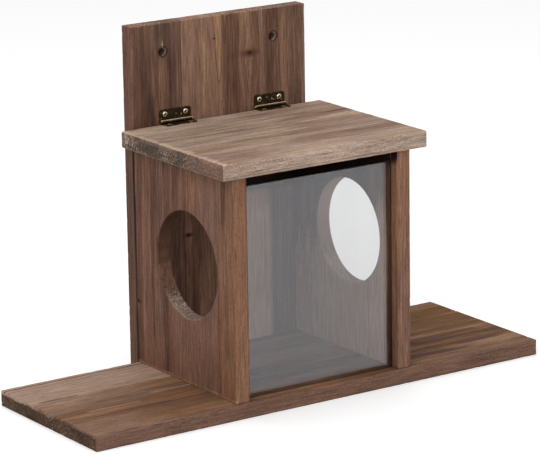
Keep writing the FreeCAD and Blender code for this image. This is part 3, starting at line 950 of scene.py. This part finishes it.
def paneMaterial():
    material, tree, shader = newMaterial("clearPane")
    texture = addNode(tree, "ShaderNodeTexCoord")
    place = texture.outputs["Object"]
    facing = maths(tree, "ABSOLUTE", split(tree, texture.outputs["Normal"])["Y"])
    wipes = noise(tree, stretched(tree, place, *pane["wipeScale"]), detail=4.0)
    specks = noise(tree, place, scale=pane["speckScale"], detail=1.0)
    specks = mapRange(tree, specks, *pane["speckNoise"], 0.0, pane["speck"])
    solid = plus(tree, mapRange(tree, wipes, *noiseSpan, *pane["solid"]), specks)
    sawn = mapRange(tree, facing, *pane["edgeTurn"], 1.0, 0.0)
    tree.links.new(maths(tree, "MAXIMUM", solid, times(tree, sawn, pane["edge"])), shader.inputs["Alpha"])
    rough = mapRange(tree, wipes, *pane["roughNoise"], *pane["roughness"])
    rough = timesPlus(tree, sawn, pane["edgeRoughness"], rough)
    tree.links.new(rough, shader.inputs["Roughness"])
    shader.inputs["Base Color"].default_value = shade(*pane["gloss"])
    shader.inputs["Metallic"].default_value = 1.0
    return material


print("pane")
paint("front_pane", paneMaterial())


# Hinges

hinge = {
    "bronze": (52, 42, 30),
    "brass": (214, 184, 140),
    "patinaScale": 380,                 # per metre
    # rubbed brass at the edges and in spots is partly wear and partly painted glints
    "rubbedEdgeAndGlint": (0.1, 1.0),           # from each edge of a leaf
    "rubbedNoise": (0.38, 0.54),
    "rubbed": 0.75,
    "spotNoise": (0.59, 0.7),
    "brassSpotsAndGlints": 0.6,
    "roughness": (0.28, 0.5),
    "pinPlace": (75.4, 235.6),          # y and z of the pins' axis
    "knuckleReach": (2.4, 2.52),        # from that axis
    "highlightAim": (0.0, -0.5, 0.87),      # the side of the knuckles that gets a painted highlight
    "crestTurn": (0.9, 0.99),
    "crestNoise": (0.35, 0.5),
    "crestLeast": 0.5,
    "crestHighlight": 0.95,
}


def hingeMaterial(name, node):
    material, tree, shader = newMaterial(name)
    texture = addNode(tree, "ShaderNodeTexCoord")
    place = texture.outputs["Object"]
    patina = noise(tree, place, scale=hinge["patinaScale"], detail=4.0, roughness=0.65)
    edge = edgeDistance(tree, place, *(list(corner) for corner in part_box(node)))
    # rubbed brass at the leaves' edges and in spots, partly wear and partly painted glints
    rubbed = times(tree, fade(tree, edge, *hinge["rubbedEdgeAndGlint"], hinge["rubbed"]),
                   mapRange(tree, patina, *hinge["rubbedNoise"]))
    factor = maths(tree, "MAXIMUM", rubbed, mapRange(tree, patina, *hinge["spotNoise"], 0.0, hinge["brassSpotsAndGlints"]))

    # painted highlight along the knuckles' crest
    pinY, pinZ = hinge["pinPlace"]
    fromPin = vectorMaths(tree, "SUBTRACT", place, (0.0, pinY * mm, pinZ * mm))
    fromPin = lengthOf(tree, stretched(tree, fromPin, 0.0, 1.0, 1.0))
    onKnuckle = fade(tree, fromPin, *hinge["knuckleReach"], 1.0)
    facing = vectorMaths(tree, "DOT_PRODUCT", texture.outputs["Normal"], hinge["highlightAim"], result="Value")
    crestHighlight = times(tree, onKnuckle, mapRange(tree, facing, *hinge["crestTurn"], 0.0, hinge["crestHighlight"]))
    crestHighlight = times(tree, crestHighlight, mapRange(tree, patina, *hinge["crestNoise"], hinge["crestLeast"], 1.0))
    factor = maths(tree, "MAXIMUM", factor, crestHighlight)
    tree.links.new(mixColour(tree, factor, shade(*hinge["bronze"]), shade(*hinge["brass"])),
                   shader.inputs["Base Color"])
    tree.links.new(mapRange(tree, patina, *noiseSpan, *hinge["roughness"]), shader.inputs["Roughness"])
    shader.inputs["Metallic"].default_value = 1.0
    return material


print("hinges")
for side in ("left", "right"):
    for part in ("back_leaf", "roof_leaf", "pin"):
        node = side + "_hinge_" + part
        paint(node, hingeMaterial(node + "Metal", node))


# Screws

screwShape = {
    "sides": 28,
    "rim": 0.30,                # share of the head's radius that the flat middle of a dome takes
    "recessReach": 0.62,        # share of the head's radius, as the next two
    "recessWidth": 0.28,
    "recessDepth": 0.42,
    "threadPitch": 1.5,
    "threadHeight": 0.28,       # share of the shank's radius
    "threadSteps": 14,          # for each turn
    "threadRunOut": 1.6,        # times the neck's length, where the thread ends below the head
    "shoulder": 0.72,           # share of the head's radius, and of the dome's height
    "point": 0.2,               # share of the core's radius
    "least": 0.01,              # height of a ring of a flat head
    "merge": 0.02,
    # painted shade: the cross recess and a ring round it are darkened
    "ringShadeSpan": (0.42, 0.66),  # shares of the head's radius
    "ringShade": 0.9,
    "smoothBelow": 28,          # degrees
    "recessShadeTint": (24, 18, 12),
    "recessFade": (0.15, 0.7),  # shares of the recess's depth
    "recessShadeStrength": 0.92,
    "stainTint": (112, 90, 56),
    "stainScale": 900,          # per metre
    "stainNoise": (0.5, 0.75),
    "stain": 0.6,
    "roughness": (0.24, 0.42),
    "seed": 7,
}

hingeScrew = {
    "slot": "hinge_screw_brass", "headRadius": 2.4, "shankRadius": 1.2,
    "length": 11.0, "tip": 3.0, "dome": 0.45, "metal": (204, 194, 172),
}

# A row is: its node, the axis along which its heads face, at which end of it, and how many screws.
screwGroups = {
    "boardScrews": {
        "body": "box", "slot": "screw_steel", "headRadius": 3.6, "shankRadius": 1.75,
        "length": 38.0, "tip": 3.0, "dome": 0.0, "metal": (186, 172, 122),
        "rows": (
            ("base_to_left_side_screws", "Z", "low", 2), ("base_to_right_side_screws", "Z", "low", 2),
            ("back_to_left_side_screws", "Y", "high", 3), ("back_to_right_side_screws", "Y", "high", 3),
            ("back_to_base_screws", "Y", "high", 2),
        ),
    },
    "hingeBackScrews": {
        **hingeScrew, "body": "box",
        "rows": (("left_hinge_back_screws", "Y", "low", 2), ("right_hinge_back_screws", "Y", "low", 2)),
    },
    "hingeRoofScrews": {
        **hingeScrew, "body": "roof",
        "rows": (("left_hinge_roof_screws", "Z", "high", 2), ("right_hinge_roof_screws", "Z", "high", 2)),
    },
}


def screwTree():
    # on every point a screw: a countersunk head with a cross recess, a threaded shank and a tip
    tree, given = newTree("crossHeadScrews", {
        "Head Radius": ("Float", 0.003), "Shank Radius": ("Float", 0.0015), "Length": ("Float", 0.03),
        "Tip Length": ("Float", 0.003), "Dome": ("Float", 0.0), "Recess Reach": ("Float", 0.6),
        "Recess Width": ("Float", 0.2), "Recess Depth": ("Float", 0.4), "Thread Pitch": ("Float", 0.0015),
        "Thread Height": ("Float", 0.3), "Thread Steps": ("Int", 12), "Sides": ("Int", 24),
        "Rim": ("Float", 0.3), "Seed": ("Int", 0), "Material": ("Material", None),
    })
    head, shank, dome = given["Head Radius"], given["Shank Radius"], given["Dome"]
    ridge = times(tree, shank, given["Thread Height"])
    core = minus(tree, shank, ridge)
    neck = minus(tree, core, head)
    tipStart = minus(tree, given["Tip Length"], given["Length"])
    tipEnd = times(tree, given["Length"], -1.0)
    point = times(tree, core, screwShape["point"])
    shoulder = screwShape["shoulder"]
    outline = (
        (times(tree, head, given["Rim"]), dome),
        (times(tree, head, shoulder), times(tree, dome, shoulder)),
        (head, 0.0), (core, neck), (core, tipStart), (point, tipEnd),
    )
    rings = addNode(tree, "GeometryNodeJoinGeometry")
    for (upper, top), (lower, bottom) in zip(outline, outline[1:]):
        height = maths(tree, "MAXIMUM", minus(tree, top, bottom), screwShape["least"] * mm)
        cone = addNode(tree, "GeometryNodeMeshCone", {
            "Vertices": given["Sides"], "Radius Top": upper, "Radius Bottom": lower, "Depth": height,
        }, fill_type="NONE")
        place = addNode(tree, "GeometryNodeTransform", {
            "Geometry": cone.outputs["Mesh"], "Translation": combine(tree, 0.0, 0.0, bottom)})
        tree.links.new(place.outputs[0], rings.inputs[0])
    for (radius, level), facesDown in ((outline[0], False), (outline[-1], True)):
        disc = addNode(tree, "GeometryNodeMeshCircle", {"Vertices": given["Sides"], "Radius": radius},
                       fill_type="NGON")
        if facesDown:
            disc = addNode(tree, "GeometryNodeFlipFaces", {"Mesh": disc.outputs[0]})
        place = addNode(tree, "GeometryNodeTransform", {
            "Geometry": disc.outputs[0], "Translation": combine(tree, 0.0, 0.0, level)})
        tree.links.new(place.outputs[0], rings.inputs[0])
    body = addNode(tree, "GeometryNodeMergeByDistance", {
        "Geometry": rings.outputs[0], "Distance": screwShape["merge"] * mm})

    # the cross recess is cut by one bar after the other, which leaves a closed mesh
    reach, width, depth = (
        times(tree, times(tree, head, given["Recess " + label]), 2.0)
        for label in ("Reach", "Width", "Depth"))
    for x, y in ((reach, width), (width, reach)):
        bar = addNode(tree, "GeometryNodeMeshCube", {"Size": combine(tree, x, y, depth)})
        place = addNode(tree, "GeometryNodeTransform", {
            "Geometry": bar.outputs["Mesh"], "Translation": combine(tree, 0.0, 0.0, dome)})
        body = addNode(tree, "GeometryNodeMeshBoolean", {
            "Mesh 1": body.outputs[0], "Mesh 2": place.outputs[0],
        }, operation="DIFFERENCE", solver="EXACT")

    # painted shade: how deep a point of the recess lies as a share, and a ring round it, both darkened in the
    # material
    here = split(tree, addNode(tree, "GeometryNodeInputPosition").outputs[0])
    across = lengthOf(tree, combine(tree, here["X"], here["Y"], 0.0))
    inside = maths(tree, "LESS_THAN", across, times(tree, head, given["Recess Reach"]))
    below = minus(tree, dome, here["Z"])
    below = maths(tree, "DIVIDE", below, times(tree, depth, 0.5))
    recessShade = times(tree, inside, maths(tree, "MINIMUM", below, 1.0))
    ringShade = mapRange(tree, maths(tree, "DIVIDE", across, head), *screwShape["ringShadeSpan"],
                     screwShape["ringShade"], 0.0)
    recessShade = maths(tree, "MAXIMUM", recessShade, ringShade)
    marked = addNode(tree, "GeometryNodeStoreNamedAttribute", {
        "Geometry": body.outputs["Mesh"], "Name": "recessShade", "Value": recessShade}, data_type="FLOAT", domain="POINT")

    # the thread winds round the shank and runs out on the tip
    profile = addNode(tree, "GeometryNodeCurvePrimitiveCircle", {"Resolution": 3, "Radius": ridge})
    parts = addNode(tree, "GeometryNodeJoinGeometry")
    runOut = times(tree, neck, screwShape["threadRunOut"])
    runs = (
        (core, core, tipStart, minus(tree, runOut, tipStart)),
        (point, core, tipEnd, given["Tip Length"]),
    )
    for startRadius, endRadius, start, height in runs:
        spiral = addNode(tree, "GeometryNodeCurveSpiral", {
            "Resolution": given["Thread Steps"], "Height": height,
            "Rotations": maths(tree, "DIVIDE", height, given["Thread Pitch"]),
            "Start Radius": startRadius, "End Radius": endRadius})
        place = addNode(tree, "GeometryNodeTransform", {
            "Geometry": spiral.outputs[0], "Translation": combine(tree, 0.0, 0.0, start)})
        thread = addNode(tree, "GeometryNodeCurveToMesh", {
            "Curve": place.outputs[0], "Profile Curve": profile.outputs[0], "Fill Caps": True})
        tree.links.new(thread.outputs[0], parts.inputs[0])
    tree.links.new(marked.outputs[0], parts.inputs[0])
    shaded = shadeByAngle(tree, parts.outputs[0], screwShape["smoothBelow"])

    # each point's "aim" is the way that its head faces
    aim = addNode(tree, "GeometryNodeInputNamedAttribute", {"Name": "aim"}, data_type="FLOAT_VECTOR")
    facing = addNode(tree, "FunctionNodeAlignRotationToVector", {"Vector": aim.outputs[0]}, axis="Z")
    spin = addNode(tree, "FunctionNodeRandomValue", {"Seed": given["Seed"]}, data_type="FLOAT")
    spin.inputs[3].default_value = math.tau
    turn = addNode(tree, "FunctionNodeEulerToRotation", {0: combine(tree, 0.0, 0.0, spin.outputs[1])})
    turned = addNode(tree, "FunctionNodeRotateRotation", {
        "Rotation": facing.outputs[0], "Rotate By": turn.outputs[0]}, rotation_space="LOCAL")
    placed = addNode(tree, "GeometryNodeInstanceOnPoints", {
        "Points": given["Geometry"], "Instance": shaded, "Rotation": turned.outputs[0]})
    endTree(tree, placed.outputs[0], given["Material"])
    return tree


def screwPlaces(node, axisName, side, count, headRadius, dome):
    # evenly spaced along the longer way of the node's box; the heads' rims lie in the face
    low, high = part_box(node)
    axis = axisNames.index(axisName)
    others = [i for i in range(3) if i != axis]
    run = max(others, key=lambda i: high[i] - low[i])
    middle = (low + high) / 2
    way = 1.0 if side == "high" else -1.0
    middle[axis] = (high if side == "high" else low)[axis] - way * dome * mm
    reach = (high[run] - low[run]) / 2 - headRadius * mm
    places = []
    for index in range(count):
        place = middle.copy()
        place[run] += reach * (2 * index / (count - 1) - 1)
        places.append(place)
    aim = Vector([way if i == axis else 0.0 for i in range(3)])
    return places, [aim] * count


def screwMaterial(name, tint):
    material, tree, shader = newMaterial(name)
    place = addNode(tree, "ShaderNodeTexCoord").outputs["Object"]
    stains = noise(tree, place, scale=screwShape["stainScale"], detail=3.0, roughness=0.6)
    recessShade = addNode(tree, "ShaderNodeAttribute", attribute_name="recessShade").outputs["Fac"]
    # painted shade in the cross recess and the ring round it
    dark = mapRange(tree, recessShade, *screwShape["recessFade"], 0.0, screwShape["recessShadeStrength"])
    stained = mapRange(tree, stains, *screwShape["stainNoise"], 0.0, screwShape["stain"])
    metal = mixColour(tree, stained, shade(*tint), shade(*screwShape["stainTint"]))
    colour = mixColour(tree, dark, metal, shade(*screwShape["recessShadeTint"]))
    tree.links.new(colour, shader.inputs["Base Color"])
    tree.links.new(mapRange(tree, stains, *noiseSpan, *screwShape["roughness"]), shader.inputs["Roughness"])
    shader.inputs["Metallic"].default_value = 1.0
    return material


print("screws")
allScrews = screwTree()
for groupName, group in screwGroups.items():
    places, aims = [], []
    for node, axisName, side, count in group["rows"]:
        found, facing = screwPlaces(node, axisName, side, count, group["headRadius"], group["dome"])
        places += found
        aims += facing
    mesh = bpy.data.meshes.new(groupName)
    mesh.from_pydata(places, [], [])
    aimData = mesh.attributes.new("aim", "FLOAT_VECTOR", "POINT").data
    aimData.foreach_set("vector", [value for aim in aims for value in aim])
    piece = bpy.data.objects.new(groupName, mesh)
    bpy.context.scene.collection.objects.link(piece)
    runTree(piece, allScrews, {
        "Head Radius": group["headRadius"] * mm, "Shank Radius": group["shankRadius"] * mm,
        "Length": group["length"] * mm, "Tip Length": group["tip"] * mm, "Dome": group["dome"] * mm,
        "Recess Reach": screwShape["recessReach"], "Recess Width": screwShape["recessWidth"],
        "Recess Depth": screwShape["recessDepth"], "Thread Pitch": screwShape["threadPitch"] * mm,
        "Thread Height": screwShape["threadHeight"], "Thread Steps": screwShape["threadSteps"],
        "Sides": screwShape["sides"], "Rim": screwShape["rim"], "Seed": screwShape["seed"],
        "Material": screwMaterial(groupName + "Metal", group["metal"]),
    })
    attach(piece, group["body"])
    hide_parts(*(row[0] for row in group["rows"]))
    print("  ", groupName, len(piece.data.polygons), "faces")


# Camera, lights and floor

view = {
    "imageWidth": 540,
    "focalPixels": 3195.4,
    "azimuth": -34.004,         # degrees
    "elevation": 14.461,
    "roll": -0.895,
    "distance": 2854.9,
    "target": (-17.5, -26.5, 150.7),
}


def addCamera():
    data = bpy.data.cameras.new("camera")
    data.sensor_fit = "HORIZONTAL"
    data.lens = view["focalPixels"] / view["imageWidth"] * data.sensor_width
    data.clip_end = 50.0
    azimuth, elevation, roll = (math.radians(view[k]) for k in ("azimuth", "elevation", "roll"))
    forward = Vector((-math.sin(azimuth) * math.cos(elevation),
                      math.cos(azimuth) * math.cos(elevation), -math.sin(elevation)))
    right = forward.cross(Vector((0, 0, 1))).normalized()
    up = right.cross(forward)
    sideways = right * math.cos(roll) + up * math.sin(roll)
    upright = up * math.cos(roll) - right * math.sin(roll)
    turn = Matrix((sideways, upright, -forward)).transposed().to_4x4()
    camera = bpy.data.objects.new("camera", data)
    place = Vector(view["target"]) * mm - forward * view["distance"] * mm
    camera.matrix_world = Matrix.Translation(place) @ turn
    bpy.context.scene.collection.objects.link(camera)
    bpy.context.scene.camera = camera


studio = {
    "ambient": 0.62,
    "aim": (0, 0, 0.12),        # metres
    "floor": (246, 246, 246),
    "floorGlow": 0.22,
    "floorSize": 12,            # metres
    "floorLevel": -0.0001,      # just under the base, so that the two faces don't share a plane
    "lamps": (
        # name, place in metres, size in metres, watts
        ("keyLamp", (-2.0, -1.9, 2.0), 1.6, 40),
        ("frontLamp", (0.3, -2.7, 0.55), 1.2, 13),
        ("topLamp", (0.0, 0.3, 2.6), 1.8, 16),
    ),
}


def addLamp(name, place, size, watts):
    data = bpy.data.lights.new(name, "AREA")
    data.size = size
    data.energy = watts
    lamp = bpy.data.objects.new(name, data)
    lamp.location = place
    aim = Vector(studio["aim"]) - Vector(place)
    lamp.rotation_euler = aim.to_track_quat("-Z", "Y").to_euler()
    bpy.context.scene.collection.objects.link(lamp)


def seenDirectly(tree):
    # 1 for what the camera sees, also in a reflection or through something clear, and 0 for plain light
    path = addNode(tree, "ShaderNodeLightPath")
    seen = maths(tree, "MAXIMUM", path.outputs["Is Camera Ray"], path.outputs["Is Glossy Ray"])
    return maths(tree, "MAXIMUM", seen, path.outputs["Is Transmission Ray"])


def addWorld():
    # soft light on the object, and white where the camera or a reflection looks past it
    world = bpy.data.worlds.new("studio")
    bpy.context.scene.world = world
    world.use_nodes = True
    tree = world.node_tree
    background = tree.nodes["Background"]
    strength = mapRange(tree, seenDirectly(tree), 0.0, 1.0, studio["ambient"], 1.0, smooth=False)
    tree.links.new(strength, background.inputs["Strength"])
    background.inputs["Color"].default_value = (1.0, 1.0, 1.0, 1.0)


def addFloor():
    half, level = studio["floorSize"] / 2, studio["floorLevel"]
    mesh = bpy.data.meshes.new("floor")
    corners = [(-half, -half, level), (half, -half, level), (half, half, level), (-half, half, level)]
    mesh.from_pydata(corners, [], [(0, 1, 2, 3)])
    floor = bpy.data.objects.new("floor", mesh)
    bpy.context.scene.collection.objects.link(floor)
    material, tree, shader = newMaterial("floorPaint")
    shader.inputs["Base Color"].default_value = shade(*studio["floor"])
    shader.inputs["Roughness"].default_value = 1.0
    shader.inputs["Specular IOR Level"].default_value = 0.0
    shader.inputs["Emission Color"].default_value = (1.0, 1.0, 1.0, 1.0)
    glow = times(tree, seenDirectly(tree), studio["floorGlow"])
    tree.links.new(glow, shader.inputs["Emission Strength"])
    mesh.materials.append(material)
    floor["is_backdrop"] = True


print("studio")
addCamera()
for lampSettings in studio["lamps"]:
    addLamp(*lampSettings)
addWorld()
addFloor()
bpy.context.scene.view_settings.view_transform = "Standard"

low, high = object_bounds()
